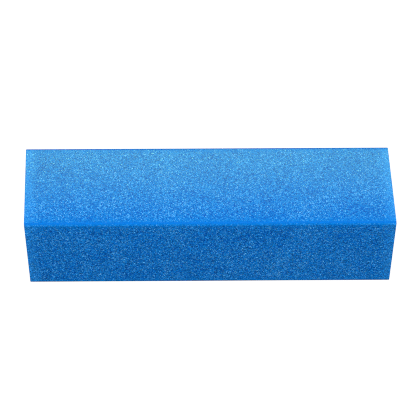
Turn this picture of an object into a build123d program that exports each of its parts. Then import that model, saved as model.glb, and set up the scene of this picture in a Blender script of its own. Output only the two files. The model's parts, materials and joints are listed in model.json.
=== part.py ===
from build123d import *
import os
from math import radians, tan

# Nail buffer block: a closed-cell foam bar with a coated abrasive sheet bonded to each of its
# four long faces. Each sheet is an adhesive film, a backing and a grit coat.
# Millimetres. X runs along the block, -Y is the front face and +Z is up.
# The origin is the middle of the face that the block rests on.

# Driving dimensions
block_length = 95.0
block_width = 25.4
block_height = 25.4
adhesive_thickness = 0.10
backing_thickness = 0.35
grit_thickness = 0.25
long_edge_radius = 0.9
end_edge_radius = 0.25
end_cut_angle = 1.4  # degrees out of square, seen from above; both ends are cut parallel

# What follows from them
sheet_thickness = adhesive_thickness + backing_thickness + grit_thickness
core_width = block_width - 2 * sheet_thickness
core_height = block_height - 2 * sheet_thickness
mid_height = block_height / 2
end_shift = block_width / 2 * tan(radians(end_cut_angle))
stock_length = block_length + block_width  # bonded long, then cut to the outline

os.makedirs("parts", exist_ok=True)


def write(part, name):
    """Label a finished piece and write it to a file of its own."""
    part.label = name
    export_step(part, f"parts/{name}.step")


# The outline that the bonded block is cut and eased to. Seen from above, its ends lean so that
# the front face lies a little further towards +X than the back face.
with BuildPart() as outline:
    with BuildSketch():
        with BuildLine():
            Polyline(
                (-block_length / 2 + end_shift, -block_width / 2),
                (block_length / 2 + end_shift, -block_width / 2),
                (block_length / 2 - end_shift, block_width / 2),
                (-block_length / 2 - end_shift, block_width / 2),
                close=True,
            )
        make_face()
    extrude(amount=block_height)
    fillet(outline.edges().filter_by(Axis.X), long_edge_radius)
    by_length = outline.faces().sort_by(Axis.X)
    fillet(by_length[0].edges() + by_length[-1].edges(), end_edge_radius)


# Foam bar
with BuildPart() as foam_core:
    with BuildSketch(Plane.XY.offset(sheet_thickness)):
        Rectangle(stock_length, core_width)
    extrude(amount=core_height)
    add(outline.part, mode=Mode.INTERSECT)
write(foam_core.part, "foam_core")


# Abrasive sheets. The top and bottom sheets are bonded first and are as wide as the foam. The
# front and back sheets are bonded over their cut edges and are as tall as the block.
def foam_face(direction, distance):
    """The plane of one of the foam's long faces, which looks away from the foam."""
    middle = Vector(0, 0, mid_height) + Vector(*direction) * distance
    return Plane(origin=middle, x_dir=(1, 0, 0), z_dir=direction)


sides = {
    "top": (foam_face((0, 0, 1), core_height / 2), core_width),
    "bottom": (foam_face((0, 0, -1), core_height / 2), core_width),
    "front": (foam_face((0, -1, 0), core_width / 2), block_height),
    "back": (foam_face((0, 1, 0), core_width / 2), block_height),
}
layers = (
    ("adhesive_film", adhesive_thickness),
    ("backing_sheet", backing_thickness),
    ("grit_coat", grit_thickness),
)

for side, (face, sheet_width) in sides.items():
    depth = 0.0
    for layer, thickness in layers:
        with BuildPart() as piece:
            with BuildSketch(face.offset(depth)):
                Rectangle(stock_length, sheet_width)
            extrude(amount=thickness)
            add(outline.part, mode=Mode.INTERSECT)
        write(piece.part, f"{side}_{layer}")
        depth += thickness
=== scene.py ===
import json
import math

import bmesh
import bpy
from mathutils import Matrix, Vector, noise


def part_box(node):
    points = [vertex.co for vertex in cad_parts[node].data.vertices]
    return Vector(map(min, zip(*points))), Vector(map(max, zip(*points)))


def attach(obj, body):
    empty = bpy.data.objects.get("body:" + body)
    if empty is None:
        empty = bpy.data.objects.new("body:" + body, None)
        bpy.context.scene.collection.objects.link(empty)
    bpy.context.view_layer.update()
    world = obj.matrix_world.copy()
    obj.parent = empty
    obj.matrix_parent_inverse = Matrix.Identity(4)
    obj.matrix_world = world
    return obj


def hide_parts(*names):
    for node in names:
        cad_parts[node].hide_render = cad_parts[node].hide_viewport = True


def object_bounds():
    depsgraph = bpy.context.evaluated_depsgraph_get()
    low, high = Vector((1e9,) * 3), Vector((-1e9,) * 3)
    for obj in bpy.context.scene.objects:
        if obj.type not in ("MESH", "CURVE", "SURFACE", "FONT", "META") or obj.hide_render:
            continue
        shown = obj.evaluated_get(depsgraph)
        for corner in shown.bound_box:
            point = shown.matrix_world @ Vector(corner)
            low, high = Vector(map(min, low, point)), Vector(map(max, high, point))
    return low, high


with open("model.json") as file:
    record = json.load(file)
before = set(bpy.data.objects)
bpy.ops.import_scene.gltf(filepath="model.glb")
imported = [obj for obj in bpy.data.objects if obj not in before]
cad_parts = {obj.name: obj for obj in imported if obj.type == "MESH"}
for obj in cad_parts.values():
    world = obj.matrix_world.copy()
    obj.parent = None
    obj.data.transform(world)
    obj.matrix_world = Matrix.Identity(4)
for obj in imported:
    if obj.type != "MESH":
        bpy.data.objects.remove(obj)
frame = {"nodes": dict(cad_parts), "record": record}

bl_info = {
    "name": "Nail Buffer Block",
    "version": (1, 0, 0),
    "blender": (4, 5, 0),
    "location": "View3D > Sidebar > Buffer Block",
    "description": "Builds a foam nail buffer block with a coated abrasive sheet on each long face",
    "category": "Object",
}

MM = 0.001
SIDES = ("top", "bottom", "front", "back")
CAD_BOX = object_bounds()
BLOCK_LOW, BLOCK_HIGH = CAD_BOX
BLOCK_MIDDLE = (BLOCK_LOW + BLOCK_HIGH) / 2
MOUNTS = {mount["name"]: mount for mount in frame["record"]["mounts"]}
BLOCK_SIZE = Vector((
    MOUNTS["right_end"]["pos_m"][0] - MOUNTS["left_end"]["pos_m"][0],
    BLOCK_HIGH.y - BLOCK_LOW.y,
    BLOCK_HIGH.z - BLOCK_LOW.z))
# The ends are cut a little out of square, so x shifts by this much for each metre of y.
END_LEAN = -MOUNTS["right_end"]["axis"][1] / MOUNTS["right_end"]["axis"][0]

# How the grains lie in the mesh: how steep a heap is, its share of the height, and the finer waves'
# share and rate
HEAP_STEEPNESS = 1.6
HEAP_SHARE = 0.65
WAVE_SHARE = 0.35
WAVE_RATE = 2.3

# The grit's finish
FINE_GRAIN = 0.6  # size of the fine grains beside the larger ones
WANDER_LENGTH = 1.8 * MM  # how far apart the bends of the strip's border are
WANDER_WIDTH = 0.8 * MM  # how far the border strays
PAINTED_END_LIGHT_CORE = 0.2 * MM  # width of the brightest band of painted light at the block's ends
PAINTED_END_LIGHT_REACH = 3.8 * MM  # where the painted light has faded out
DRIFT_SIZE = 14.0 * MM  # distance between paler and darker stretches of a coat
# Shares of the tint; the relief's share paints shade into the hollows and a highlight onto the
# highest tips
TONE_SHARE, FINE_TONE_SHARE, RELIEF_SHARE, DRIFT_SHARE = 0.45, 0.33, 0.22, 0.2
STRIP_COVER, PAINTED_END_LIGHT_COVER, PAINTED_GLINT_COVER = 0.5, 0.35, 0.8  # how far each tint covers what is under it; the end tint is painted light, the pale specks are painted glints
GLINT_LIMIT = 0.97  # the fine grains over this number glint

# Opened foam cells
FINE_CELL = 0.32  # size of the fine cells beside the larger ones
KNIFE_MARK = 0.04 * MM
KNIFE_LENGTH, KNIFE_WIDTH = 8 * MM, 0.9 * MM

# The thin layers' edges
BUBBLE_SIZE = 0.3 * MM

# The lamps. Azimuth runs from the front (0) to the right (90), in degrees, as the elevation is.
TOP_BOX = {"size": (0.25, 0.25), "distance": 0.50, "azimuth": 0, "elevation": 66}
SIDE_BOX = {"size": (0.25, 0.10), "distance": 0.50, "elevation": 8}
SIDE_AZIMUTHS = {"right_box": 90, "back_box": 180, "left_box": 270}
SHEEN_STRIP = {"size": (0.20, 0.006), "distance": 0.12, "azimuth": 180, "elevation": 89}
SHEEN_COLOUR = (1.0, 0.73, 0.3)
SHEEN_SPREAD = math.radians(26)
TABLE_RADIUS = 20.0
FILTER_WIDTH = 1.1  # narrow, so that single grains stay crisp


# ---------------------------------------------------------------- sizes and colours


class GritSettings(bpy.types.PropertyGroup):
    """The grit coats: their grains, their resin and their cut borders."""

    mesh_step: bpy.props.FloatProperty(
        name="Mesh step", description="Distance between the points of a coat's surface",
        default=0.158 * MM, min=0.05 * MM, unit="LENGTH", precision=6)
    clump_size: bpy.props.FloatProperty(
        name="Clump size", description="Distance between the heaps that the grains lie in",
        default=0.28 * MM, unit="LENGTH", precision=6)
    relief: bpy.props.FloatProperty(
        name="Relief", description="Height of a heap over the hollows round it",
        default=0.058 * MM, unit="LENGTH", precision=6)
    grain_size: bpy.props.FloatProperty(
        name="Grain size", description="Distance between single grains",
        default=0.235 * MM, unit="LENGTH", precision=6)
    grain_tilt: bpy.props.FloatProperty(
        name="Grain tilt", description="How far the grains' facets lean out of the face",
        default=0.76, min=0.0, max=2.0)
    # Painted glints: the share of grains that are painted pale so that they sparkle under any lamp
    painted_glint_share: bpy.props.FloatProperty(
        name="Bare share", description="Share of the grains that no resin covers",
        default=0.006, min=0.0, max=1.0, precision=4)
    strip_core: bpy.props.FloatProperty(
        name="Strip core", description="Width of the full resin-rich strip along the long edges",
        default=0.5 * MM, unit="LENGTH", precision=6)
    strip_reach: bpy.props.FloatProperty(
        name="Strip reach", description="Distance from a long edge at which the strip has faded out",
        default=2.5 * MM, unit="LENGTH", precision=6)
    resin: bpy.props.FloatVectorProperty(
        name="Resin", description="Colour of the bare resin",
        default=(0.0, 0.152, 0.53), subtype="COLOR", min=0.0, max=1.0)
    # Painted shade: the colour that the hollows between the grains are darkened to
    painted_hollow_shade: bpy.props.FloatVectorProperty(
        name="Hollow", description="Colour deep between the grains",
        default=(0.0, 0.045, 0.33), subtype="COLOR", min=0.0, max=1.0)
    slope: bpy.props.FloatVectorProperty(
        name="Slope", description="Colour on a grain's flanks",
        default=(0.0, 0.14, 0.51), subtype="COLOR", min=0.0, max=1.0)
    grain: bpy.props.FloatVectorProperty(
        name="Grain", description="Colour of a grain's tip",
        default=(0.02, 0.32, 0.73), subtype="COLOR", min=0.0, max=1.0)
    # Painted highlight: the highest tips are painted paler, as if they caught the light
    painted_tip_highlight: bpy.props.FloatVectorProperty(
        name="Worn", description="Colour of the few tips that stand highest",
        default=(0.17, 0.40, 0.76), subtype="COLOR", min=0.0, max=1.0)
    # Painted glints: the pale colour of the few grains that are painted as if they caught the light
    painted_glint_colour: bpy.props.FloatVectorProperty(
        name="Bare grain", description="Colour of the few grains that no resin covers",
        default=(0.10, 0.42, 0.80), subtype="COLOR", min=0.0, max=1.0)
    # Painted light: the coat is painted paler towards the block's ends, standing in for light from
    # the sides
    painted_end_light_colour: bpy.props.FloatVectorProperty(
        name="End tint", description="Colour that the coat turns towards at the block's ends",
        default=(0.02, 0.26, 0.74), subtype="COLOR", min=0.0, max=1.0)


class FoamSettings(bpy.types.PropertyGroup):
    """The foam bar and the cells that its cut ends show."""

    mesh_step: bpy.props.FloatProperty(
        name="Mesh step", description="Distance between the points of a cut end",
        default=0.121 * MM, min=0.05 * MM, unit="LENGTH", precision=6)
    cell_size: bpy.props.FloatProperty(
        name="Cell size", description="Distance between the larger cells of the foam",
        default=0.5 * MM, unit="LENGTH", precision=6)
    cell_depth: bpy.props.FloatProperty(
        name="Cell depth", description="Depth of a cell that the knife opened",
        default=0.10 * MM, unit="LENGTH", precision=6)
    dish: bpy.props.FloatProperty(
        name="Dish", description="How far the foam springs back in the middle of a cut end",
        default=0.15 * MM, unit="LENGTH", precision=6)
    colour: bpy.props.FloatVectorProperty(
        name="Foam", description="Colour of the foam",
        default=(0.004, 0.17, 0.54), subtype="COLOR", min=0.0, max=1.0)
    # Painted shade: the colour that the opened cells are darkened to
    painted_cell_shade: bpy.props.FloatVectorProperty(
        name="Cell", description="Colour inside the opened cells",
        default=(0.0, 0.085, 0.36), subtype="COLOR", min=0.0, max=1.0)


class SheetSettings(bpy.types.PropertyGroup):
    """The backing sheets and the adhesive films, which show as thin lines along the edges."""

    backing: bpy.props.FloatVectorProperty(
        name="Backing", description="Colour of the backing's cut edge",
        default=(0.0, 0.15, 0.57), subtype="COLOR", min=0.0, max=1.0)
    fibre_size: bpy.props.FloatProperty(
        name="Fibre size", description="Distance between the fibres of the backing",
        default=0.12 * MM, unit="LENGTH", precision=6)
    adhesive: bpy.props.FloatVectorProperty(
        name="Adhesive", description="Colour of the adhesive film's edge",
        default=(0.0, 0.15, 0.57), subtype="COLOR", min=0.0, max=1.0)


class StageSettings(bpy.types.PropertyGroup):
    """The camera, the lamps and the light table that the block lies on."""

    azimuth: bpy.props.FloatProperty(
        name="Azimuth", description="How far the camera stands to the right of straight in front",
        default=math.radians(-1.0), subtype="ANGLE")
    elevation: bpy.props.FloatProperty(
        name="Elevation", description="Height of the camera over the horizon",
        default=math.radians(52.27), subtype="ANGLE")
    roll: bpy.props.FloatProperty(
        name="Roll", description="Turn of the camera about its own line of sight",
        default=math.radians(0.49), subtype="ANGLE")
    distance: bpy.props.FloatProperty(
        name="Distance", description="From the camera to the point that it looks at",
        default=0.5158, unit="LENGTH")
    lens: bpy.props.FloatProperty(
        name="Lens", description="Focal length in millimetres", default=168.2)
    aim: bpy.props.FloatVectorProperty(
        name="Aim", description="The point that the camera looks at, from the block's middle",
        default=(0.38 * MM, 0.0, 2.10 * MM), subtype="XYZ", unit="LENGTH")
    floor_glow: bpy.props.FloatProperty(
        name="Floor glow", description="Light that the table gives off", default=0.93, min=0.0)
    floor_tone: bpy.props.FloatProperty(
        name="Floor tone", description="Share of the light that the table gives back", default=0.1,
        min=0.0, max=1.0)
    sky: bpy.props.FloatProperty(
        name="Sky", description="Light from overhead all round", default=0.13, min=0.0)
    horizon: bpy.props.FloatProperty(
        name="Horizon", description="Light from the pale walls all round", default=1.05, min=0.0)
    underside: bpy.props.FloatProperty(
        name="Underside", description="Light from below the horizon", default=0.38, min=0.0)
    top_power: bpy.props.FloatProperty(
        name="Top power", description="Power of the soft box over the block, in watts",
        default=3.55, min=0.0, subtype="POWER")
    side_power: bpy.props.FloatProperty(
        name="Side power", description="Power of each soft box beside or behind the block, in watts",
        default=0.9, min=0.0, subtype="POWER")
    sheen_power: bpy.props.FloatProperty(
        name="Sheen power", description="Power of the narrow strip lamp over the back edge, in watts",
        default=0.95, min=0.0, subtype="POWER")


# ---------------------------------------------------------------- materials


class Socket:
    """An output of a finish's node tree. Arithmetic on one that carries a number adds Math nodes."""

    def __init__(self, finish, output):
        self.finish = finish
        self.output = output

    def math(self, operation, *values):
        return self.finish.node("ShaderNodeMath", {"operation": operation}, dict(enumerate(values)))

    def __add__(self, other):
        return self.math("ADD", self, other)

    __radd__ = __add__

    def __mul__(self, other):
        return self.math("MULTIPLY", self, other)

    __rmul__ = __mul__

    def __sub__(self, other):
        return self.math("SUBTRACT", self, other)

    def __rsub__(self, other):
        return self.math("SUBTRACT", other, self)

    def __abs__(self):
        return self.math("ABSOLUTE", self)

    def larger(self, other):
        return self.math("MAXIMUM", self, other)

    def smaller(self, other):
        return self.math("MINIMUM", self, other)

    def above(self, limit):
        """1 where the number is over the limit, else 0."""
        return self.math("GREATER_THAN", self, limit)

    def ramp(self, low, high, start=0.0, end=1.0):
        """A smooth rise from start at low to end at high."""
        return self.finish.node(
            "ShaderNodeMapRange", {"interpolation_type": "SMOOTHSTEP"},
            {"Value": self, "From Min": low, "From Max": high, "To Min": start, "To Max": end})


class Finish:
    """A material, or the world, that is put together from nodes."""

    def __init__(self, tree):
        self.tree = tree
        self.tree.nodes.clear()

    def node(self, kind, settings=None, inputs=None, output=0):
        """Add a node, set it up, feed its inputs with values or sockets, and return one output."""
        made = self.tree.nodes.new(kind)
        for name, value in (settings or {}).items():
            setattr(made, name, value)
        for name, value in (inputs or {}).items():
            if isinstance(value, Socket):
                self.tree.links.new(value.output, made.inputs[name])
            else:
                made.inputs[name].default_value = value
        return Socket(self, made.outputs[output]) if made.outputs else None

    def mix(self, factor, first, second):
        """The first colour where the factor is 0, the second where it is 1."""
        first, second = (c if isinstance(c, Socket) else (*c, 1.0) for c in (first, second))
        colours = {"Factor": factor, 6: first, 7: second}
        return self.node("ShaderNodeMix", {"data_type": "RGBA"}, colours, output=2)

    def split(self, vector):
        """The three numbers of a vector or a colour."""
        first = self.node("ShaderNodeSeparateXYZ", {}, {"Vector": vector})
        return [Socket(self, output) for output in first.output.node.outputs]

    def place(self):
        """The point of the surface, in metres in the block's own frame."""
        return self.node("ShaderNodeTexCoord", {}, {}, output="Object")

    def cells(self, size):
        """Distance from the nearest cell's middle, and a random colour for each cell."""
        inputs = {"Vector": self.place(), "Scale": 1.0 / size}
        distance = self.node("ShaderNodeTexVoronoi", {}, inputs, output="Distance")
        colour = Socket(self, distance.output.node.outputs["Color"])
        return distance, colour

    def clouds(self, size, detail=2.0):
        """Soft noise from 0 to 1."""
        inputs = {"Vector": self.place(), "Scale": 1.0 / size, "Detail": detail}
        return self.node("ShaderNodeTexNoise", {}, inputs, output="Fac")

    def surface(self, **inputs):
        """The Principled shader and the material's output."""
        shader = self.node("ShaderNodeBsdfPrincipled", {}, inputs)
        self.node("ShaderNodeOutputMaterial", {}, {"Surface": shader})


def new_finish(name):
    """A new node-based material and the finish that is put together in it."""
    material = bpy.data.materials.new(name)
    material.use_nodes = True
    return material, Finish(material.node_tree)


def edge_distances(finish):
    """How far a point of a long face is from the long edges and from the block's ends, in metres."""
    x, y, z = finish.split(finish.place())
    from_sides = BLOCK_SIZE.y / 2 - abs(y)
    from_top = BLOCK_SIZE.z / 2 - abs(z - BLOCK_MIDDLE.z)
    return from_sides.larger(from_top), BLOCK_SIZE.x / 2 - abs(x - END_LEAN * y)


def grit_material(grit):
    """Blue resin full of grains: hollows darkened with painted shade, tips paled with a painted
    highlight, a few pale grains painted as glints, and glinting facets.
    """
    material, finish = new_finish("blue_grit")
    from_edge, from_end = edge_distances(finish)

    # Grains of two sizes, each with its own tone and its own tilt
    near, tones = finish.cells(grit.grain_size)
    fine_near, fine_tones = finish.cells(grit.grain_size * FINE_GRAIN)
    tone, _, luck = finish.split(tones)
    fine_tone, _, fine_luck = finish.split(fine_tones)

    # The resin-rich strip along the long edges, with an uneven border, and painted light at the
    # block's ends: the coat is painted paler there, as light from the sides glowing through the cut
    # edge would make it
    wander = (finish.clouds(WANDER_LENGTH) - 0.5) * WANDER_WIDTH
    strip = 1.0 - (from_edge + wander).ramp(grit.strip_core, grit.strip_reach)
    painted_end_light = 1.0 - (from_end + wander).ramp(PAINTED_END_LIGHT_CORE, PAINTED_END_LIGHT_REACH)

    # Base colour: random grain tones, with painted shade in the hollows and a painted highlight on
    # the highest tips
    relief = finish.node("ShaderNodeAttribute", {"attribute_name": "relief"}, {}, output="Fac")
    drift = finish.clouds(DRIFT_SIZE, 4.0) - 0.5
    tip = (TONE_SHARE * tone + FINE_TONE_SHARE * fine_tone
           + RELIEF_SHARE * relief + DRIFT_SHARE * drift)
    colour = finish.mix(tip.ramp(0.1, 0.55), grit.painted_hollow_shade, grit.slope)
    colour = finish.mix(tip.ramp(0.45, 0.9), colour, grit.grain)
    # Painted highlight on the highest tips
    colour = finish.mix(tip.ramp(0.62, 0.95), colour, grit.painted_tip_highlight)
    colour = finish.mix(strip * STRIP_COVER, colour, grit.resin)
    # Painted light: paler towards the block's ends
    colour = finish.mix(painted_end_light * PAINTED_END_LIGHT_COVER, colour, grit.painted_end_light_colour)
    # Painted glints: a few grains painted pale as if they caught the light, kept off the strip
    bare = luck.above(1.0 - grit.painted_glint_share) * (1.0 - strip)
    colour = finish.mix(bare * PAINTED_GLINT_COVER, colour, grit.painted_glint_colour)

    # Facets lean at random, and a few fine ones are less rough
    amount = grit.grain_tilt * (1.0 - 0.35 * strip)
    upright = finish.node("ShaderNodeNewGeometry", {}, {}, output="Normal")
    centred = finish.node(
        "ShaderNodeVectorMath", {"operation": "SUBTRACT"}, {0: tones, 1: (0.5, 0.5, 0.5)})
    leaning = finish.node(
        "ShaderNodeVectorMath", {"operation": "SCALE"}, {0: centred, "Scale": amount})
    tilted = finish.node("ShaderNodeVectorMath", {"operation": "ADD"}, {0: upright, 1: leaning})
    normal = finish.node("ShaderNodeVectorMath", {"operation": "NORMALIZE"}, {0: tilted})
    height = (1.0 - near) * 0.6 + (1.0 - fine_near) * 0.4
    bumped = finish.node("ShaderNodeBump", {}, {
        "Strength": 0.5, "Distance": 0.05 * MM, "Height": height, "Normal": normal})
    roughness = 0.92 + 0.08 * strip - 0.33 * fine_luck.above(GLINT_LIMIT)

    finish.surface(**{
        "Base Color": colour, "Roughness": roughness, "Normal": bumped,
        "Specular IOR Level": 0.12, "Specular Tint": (0.3, 1.0, 0.5, 1.0)})
    return material


def foam_material(foam):
    """Closed-cell foam, with painted shade in the cells that the knife opened."""
    material, finish = new_finish("blue_foam")
    relief = finish.node("ShaderNodeAttribute", {"attribute_name": "relief"}, {}, output="Fac")
    fine_near, fine_tones = finish.cells(foam.cell_size * FINE_CELL)
    fine_tone = finish.split(fine_tones)[0]
    drift = finish.clouds(5.0 * MM, 3.0)
    # Painted shade in the opened cells, mixed with the foam's random tone
    shade = (0.55 * relief + 0.25 * fine_tone + 0.20 * drift).ramp(0.1, 0.9)
    colour = finish.mix(shade, foam.painted_cell_shade, foam.colour)
    bump = finish.node(
        "ShaderNodeBump", {}, {"Strength": 0.5, "Distance": 0.05 * MM, "Height": fine_near})
    finish.surface(**{
        "Base Color": colour, "Roughness": 0.7 + 0.15 * fine_tone, "Normal": bump,
        "Specular IOR Level": 0.06})
    return material


def backing_material(sheet):
    """Dyed, latex-filled fibre, cut across."""
    material, finish = new_finish("dyed_backing")
    near, tones = finish.cells(sheet.fibre_size)
    tone = finish.split(tones)[0]
    drift = finish.clouds(1.5 * MM, 3.0)
    shade = (0.6 * tone + 0.4 * drift).ramp(0.1, 0.9)
    dark = tuple(0.72 * c for c in sheet.backing)
    bump = finish.node(
        "ShaderNodeBump", {}, {"Strength": 0.4, "Distance": 0.03 * MM, "Height": near})
    finish.surface(**{
        "Base Color": finish.mix(shade, dark, sheet.backing), "Roughness": 0.6 + 0.2 * tone,
        "Normal": bump, "Specular IOR Level": 0.02})
    return material


def adhesive_material(sheet):
    """Cured adhesive: a smooth satin, with small bubbles."""
    material, finish = new_finish("adhesive")
    near, _ = finish.cells(BUBBLE_SIZE)
    bubble = near.ramp(0.1, 0.35)
    drift = finish.clouds(2.0 * MM)
    dark = tuple(0.6 * c for c in sheet.adhesive)
    bump = finish.node(
        "ShaderNodeBump", {}, {"Strength": 0.3, "Distance": 0.02 * MM, "Height": bubble})
    finish.surface(**{
        "Base Color": finish.mix(0.3 + 0.7 * bubble * drift, dark, sheet.adhesive),
        "Roughness": 0.65 + 0.15 * drift, "Normal": bump, "Specular IOR Level": 0.02})
    return material


# ---------------------------------------------------------------- pieces


def add_piece(name, mesh, material, slot, *nodes):
    """Put a finished mesh in the scene in place of its CAD nodes."""
    piece = bpy.data.objects.new(name, mesh)
    bpy.context.scene.collection.objects.link(piece)
    mesh.materials.append(material)
    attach(piece, "root")
    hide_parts(*nodes)
    return piece


def heaped(point, size):
    """Height from 0 to 1 of grains that lie in heaps, at a point in metres."""
    at = point / size
    distances = noise.voronoi(at)[0]
    heap = min(1.0, HEAP_STEEPNESS * (distances[1] - distances[0]))
    return HEAP_SHARE * heap + WAVE_SHARE * (0.5 + 0.5 * noise.noise(at * WAVE_RATE))


class CoatShape:
    """The outer surface of one side's grit coat, measured on its CAD node."""

    def __init__(self, side):
        self.out = {"top": Vector((0, 0, 1)), "bottom": Vector((0, 0, -1)),
                    "front": Vector((0, -1, 0)), "back": Vector((0, 1, 0))}[side]
        self.across = self.out.cross(Vector((1, 0, 0)))
        self.reach = abs(BLOCK_SIZE.dot(self.out)) / 2
        self.half_width = abs(BLOCK_SIZE.dot(self.across)) / 2
        points = [v.co - BLOCK_MIDDLE for v in frame["nodes"][f"{side}_grit_coat"].data.vertices]
        outs = [p.dot(self.out) for p in points]
        self.floor = min(outs)
        flat = [p for p, out in zip(points, outs) if out > self.reach - 0.001 * MM]
        self.radius = self.half_width - max(abs(p.dot(self.across)) for p in flat)
        self.half_length = BLOCK_SIZE.x / 2
        self.end_radius = self.half_length - max(abs(p.x - END_LEAN * p.y) for p in flat)
        widest = max(abs(p.dot(self.across)) for p in points)
        self.arc = math.asin(min(1.0, (widest - self.half_width + self.radius) / self.radius))
        self.flat_width = self.half_width - self.radius
        self.path = 2 * (self.flat_width + self.radius * self.arc)

    def point(self, along, way):
        """Where a point lies, which way is out, and how far the end's easing sinks it."""
        rest = max(0.0, abs(way) - self.flat_width) / self.radius
        across = min(abs(way), self.flat_width) + self.radius * math.sin(rest)
        out = self.reach - self.radius + self.radius * math.cos(rest)
        side = math.copysign(1.0, way)
        normal = self.across * (side * math.sin(rest)) + self.out * math.cos(rest)
        place = self.across * (side * across) + self.out * out
        place.x = along + END_LEAN * place.y
        past = max(0.0, abs(along) - self.half_length + self.end_radius)
        drop = self.end_radius - math.sqrt(max(0.0, self.end_radius ** 2 - past ** 2))
        return place, normal, min(drop, 0.9 * (self.reach - self.floor))


def coat_mesh(name, shape, grit):
    """One side's coat: a grid that follows the eased section, with its grains standing in relief."""
    rows = round(2 * shape.half_length / grit.mesh_step)
    columns = round(shape.path / grit.mesh_step)
    shell = bmesh.new()
    layer = shell.verts.layers.float.new("relief")
    bmesh.ops.create_grid(shell, x_segments=rows, y_segments=columns, size=0.5)
    for vertex in shell.verts:
        place, normal, drop = shape.point(
            2 * shape.half_length * vertex.co.x, shape.path * vertex.co.y)
        thickness = place.dot(shape.out) - shape.floor - drop
        height = heaped(place, grit.clump_size)
        depth = min(grit.relief * (1 - height), 0.6 * max(0.0, thickness))
        vertex.co = BLOCK_MIDDLE + place - normal * (drop + depth)
        vertex[layer] = height
    close_under(shell, shape)
    return finished_mesh(name, shell)


def close_under(shell, shape):
    """Wall the coat's border down to the backing and close its underside."""
    border = [e for e in shell.edges if e.is_boundary]
    made = bmesh.ops.extrude_edge_only(shell, edges=border)["geom"]
    for vertex in (g for g in made if isinstance(g, bmesh.types.BMVert)):
        offset = (vertex.co - BLOCK_MIDDLE).dot(shape.out) - shape.floor
        vertex.co -= shape.out * offset
    rim = [g for g in made if isinstance(g, bmesh.types.BMEdge) and g.is_boundary]
    for edge in border + rim:
        edge.smooth = False
    bmesh.ops.contextual_create(shell, geom=rim)
    bmesh.ops.remove_doubles(shell, verts=shell.verts, dist=0.002 * MM)


def finished_mesh(name, shell):
    """Turn a bmesh into a smooth-shaded mesh."""
    bmesh.ops.recalc_face_normals(shell, faces=shell.faces)
    for face in shell.faces:
        face.smooth = True
    mesh = bpy.data.meshes.new(name)
    shell.to_mesh(mesh)
    shell.free()
    return mesh


def foam_mesh(foam):
    """The foam bar: four plain faces under the sheets and two cut ends with opened cells."""
    low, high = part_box("foam_core")
    size = high - low
    middle = (low + high) / 2
    steps = round(size.y / foam.mesh_step)
    bar = bmesh.new()
    layer = bar.verts.layers.float.new("relief")
    for end in (1, -1):
        turn = Matrix.Rotation(math.radians(90) * end, 4, "Y")
        made = bmesh.ops.create_grid(bar, x_segments=steps, y_segments=steps, size=0.5, matrix=turn)
        for vertex in made["verts"]:
            y, z = vertex.co.y * size.y, vertex.co.z * size.z
            reach = min(1.0, 4 * (0.25 - vertex.co.y ** 2) * 4 * (0.25 - vertex.co.z ** 2))
            depth, height = cut_cell(Vector((end * size.x / 2, y, z)), foam)
            depth = min(1.0, 12 * reach) * depth + foam.dish * reach
            vertex.co = middle + Vector((end * (BLOCK_SIZE.x / 2 - depth) + END_LEAN * y, y, z))
            vertex[layer] = height
    loops = [e for e in bar.edges if e.is_boundary]
    for edge in loops:
        edge.smooth = False
    bmesh.ops.bridge_loops(bar, edges=loops)
    return finished_mesh("foam_core_cut", bar)


def cut_cell(point, foam):
    """Depth of the cut foam under its flat, and a tone from 0 to 1 that paints shade into the opened
    cells.
    """
    distances, centres = noise.voronoi(point / foam.cell_size)
    opened = 0.5 + 0.5 * noise.cell(centres[0] * 7.0)
    bowl = max(0.0, 1 - (distances[0] / 0.5) ** 2) * opened
    fine = 0.5 + 0.5 * noise.noise(point / (0.35 * foam.cell_size))
    stroke = Vector((point.x, point.y / KNIFE_LENGTH, point.z / KNIFE_WIDTH))
    knife = 0.5 + 0.5 * noise.noise(stroke)
    depth = foam.cell_depth * (0.7 * bowl + 0.3 * fine) + KNIFE_MARK * knife
    return depth, 1 - 0.8 * bowl


# ---------------------------------------------------------------- operators


class BUFFER_OT_grit_coats(bpy.types.Operator):
    """Build the four grit coats over the eased faces of the block"""

    bl_idname = "buffer.grit_coats"
    bl_label = "Grit coats"

    def execute(self, context):
        grit = context.scene.buffer_grit
        material = grit_material(grit)
        for side in SIDES:
            name = f"{side}_grit"
            mesh = coat_mesh(name, CoatShape(side), grit)
            add_piece(name, mesh, material, "grit", f"{side}_grit_coat")
        return {"FINISHED"}


class BUFFER_OT_foam_bar(bpy.types.Operator):
    """Build the foam bar with its two knife-cut ends"""

    bl_idname = "buffer.foam_bar"
    bl_label = "Foam bar"

    def execute(self, context):
        foam = context.scene.buffer_foam
        piece = add_piece("foam_bar", foam_mesh(foam), foam_material(foam), "foam", "foam_core")
        return {"FINISHED"}


class BUFFER_OT_bonded_layers(bpy.types.Operator):
    """Finish the backing sheets and the adhesive films, whose shapes are the CAD's own"""

    bl_idname = "buffer.bonded_layers"
    bl_label = "Backings and adhesive"

    def execute(self, context):
        sheet = context.scene.buffer_sheet
        backing, adhesive = backing_material(sheet), adhesive_material(sheet)
        for side in SIDES:
            for layer, material in (("backing_sheet", backing), ("adhesive_film", adhesive)):
                mesh = frame["nodes"][f"{side}_{layer}"].data
                mesh.materials.clear()
                mesh.materials.append(material)
        return {"FINISHED"}


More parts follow.
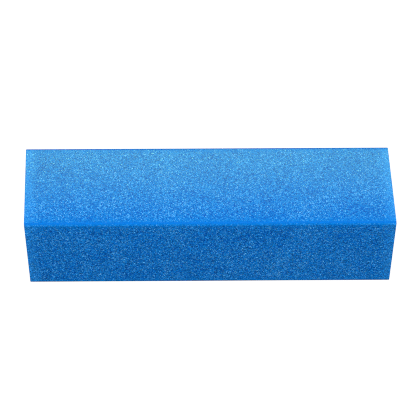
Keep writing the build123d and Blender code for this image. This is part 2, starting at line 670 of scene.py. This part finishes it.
class BUFFER_OT_stage(bpy.types.Operator):
    """Set up the light table, the lamps, the pale surroundings and the camera"""

    bl_idname = "buffer.stage"
    bl_label = "Stage"

    def execute(self, context):
        stage = context.scene.buffer_stage
        add_floor(stage)
        add_world(stage)
        add_soft_box("top_box", power=stage.top_power, **TOP_BOX)
        for name, azimuth in SIDE_AZIMUTHS.items():
            add_soft_box(name, power=stage.side_power, azimuth=azimuth, **SIDE_BOX)
        back_edge = BLOCK_MIDDLE + Vector((0, BLOCK_SIZE.y / 2, BLOCK_SIZE.z / 2))
        sheen = add_soft_box("sheen_strip", power=stage.sheen_power, aim=back_edge, **SHEEN_STRIP)
        sheen.data.color = SHEEN_COLOUR
        sheen.data.spread = SHEEN_SPREAD
        sheen.visible_diffuse = False
        add_camera(stage)
        context.scene.view_settings.view_transform = "Standard"
        context.scene.cycles.use_denoising = False  # it would wipe out the grain
        context.scene.cycles.filter_width = FILTER_WIDTH
        return {"FINISHED"}


def add_floor(stage):
    """A wide light table of white acrylic, which glows a little."""
    table = bmesh.new()
    bmesh.ops.create_circle(table, cap_ends=True, segments=96, radius=TABLE_RADIUS)
    mesh = bpy.data.meshes.new("light_table")
    table.to_mesh(mesh)
    table.free()
    floor = bpy.data.objects.new("light_table", mesh)
    bpy.context.scene.collection.objects.link(floor)
    floor.location.z = BLOCK_LOW.z
    material, finish = new_finish("white_acrylic")
    finish.surface(**{
        "Base Color": (*[stage.floor_tone] * 3, 1.0), "Roughness": 0.8, "Specular IOR Level": 0.0,
        "Emission Color": (1.0, 1.0, 1.0, 1.0), "Emission Strength": stage.floor_glow})
    material.cycles.emission_sampling = "NONE"
    mesh.materials.append(material)
    floor.visible_diffuse = floor.visible_glossy = False


def add_world(stage):
    """Pale walls all round, greyer overhead and below."""
    world = bpy.data.worlds.new("studio")
    world.use_nodes = True
    finish = Finish(world.node_tree)
    direction = finish.node("ShaderNodeTexCoord", {}, {}, output="Generated")
    upward = finish.split(direction)[2]
    strength = (upward.ramp(0.07, 0.16, stage.horizon, stage.sky)
                .smaller(upward.ramp(-0.10, -0.02, stage.underside, stage.horizon)))
    light = finish.node(
        "ShaderNodeBackground", {}, {"Color": (1.0, 1.0, 1.0, 1.0), "Strength": strength})
    finish.node("ShaderNodeOutputWorld", {}, {"Surface": light})
    bpy.context.scene.world = world


def add_soft_box(name, size, distance, azimuth, elevation, power, aim=BLOCK_MIDDLE):
    """A soft box that looks at a point from a distance, an azimuth and an elevation."""
    light = bpy.data.lights.new(name, "AREA")
    light.shape = "RECTANGLE"
    light.size, light.size_y = size
    light.energy = power
    lamp = bpy.data.objects.new(name, light)
    bpy.context.scene.collection.objects.link(lamp)
    away = Vector((0.0, -math.cos(math.radians(elevation)), math.sin(math.radians(elevation))))
    away.rotate(Matrix.Rotation(math.radians(azimuth), 3, "Z"))
    lamp.location = aim + away * distance
    lamp.rotation_euler = away.to_track_quat("Z", "Y").to_euler()
    lamp.visible_camera = False
    return lamp


def add_camera(stage):
    """A long lens from the front and above."""
    camera = bpy.data.cameras.new("camera")
    camera.lens = stage.lens
    camera.sensor_width = 36.0
    camera.clip_start, camera.clip_end = 0.01, 50.0
    holder = bpy.data.objects.new("camera", camera)
    bpy.context.scene.collection.objects.link(holder)
    turn = (Matrix.Rotation(stage.azimuth, 3, "Z")
            @ Matrix.Rotation(math.radians(90) - stage.elevation, 3, "X")
            @ Matrix.Rotation(stage.roll, 3, "Z"))
    holder.matrix_world = Matrix.Translation(
        BLOCK_MIDDLE + Vector(stage.aim) + turn @ Vector((0, 0, stage.distance))) @ turn.to_4x4()
    bpy.context.scene.camera = holder


class BUFFER_PT_panel(bpy.types.Panel):
    """Lists the block's operators and their settings"""

    bl_idname = "BUFFER_PT_panel"
    bl_label = "Buffer block"
    bl_space_type = "VIEW_3D"
    bl_region_type = "UI"
    bl_category = "Buffer Block"

    def draw(self, context):
        for operator, group in BUTTONS:
            box = self.layout.box()
            box.operator(operator.bl_idname)
            settings = getattr(context.scene, group)
            for name in settings.__annotations__:
                box.prop(settings, name)


GROUPS = {
    "buffer_grit": GritSettings,
    "buffer_foam": FoamSettings,
    "buffer_sheet": SheetSettings,
    "buffer_stage": StageSettings,
}
BUTTONS = (
    (BUFFER_OT_grit_coats, "buffer_grit"),
    (BUFFER_OT_foam_bar, "buffer_foam"),
    (BUFFER_OT_bonded_layers, "buffer_sheet"),
    (BUFFER_OT_stage, "buffer_stage"),
)


def register():
    for settings in GROUPS.values():
        bpy.utils.register_class(settings)
    for operator, _ in BUTTONS:
        bpy.utils.register_class(operator)
    bpy.utils.register_class(BUFFER_PT_panel)
    for name, settings in GROUPS.items():
        setattr(bpy.types.Scene, name, bpy.props.PointerProperty(type=settings))


def unregister():
    for name in GROUPS:
        delattr(bpy.types.Scene, name)
    bpy.utils.unregister_class(BUFFER_PT_panel)
    for operator, _ in BUTTONS:
        bpy.utils.unregister_class(operator)
    for settings in GROUPS.values():
        bpy.utils.unregister_class(settings)


def main():
    register()
    bpy.ops.buffer.stage()
    bpy.ops.buffer.grit_coats()
    bpy.ops.buffer.foam_bar()
    bpy.ops.buffer.bonded_layers()


if __name__ == "__main__":
    main()
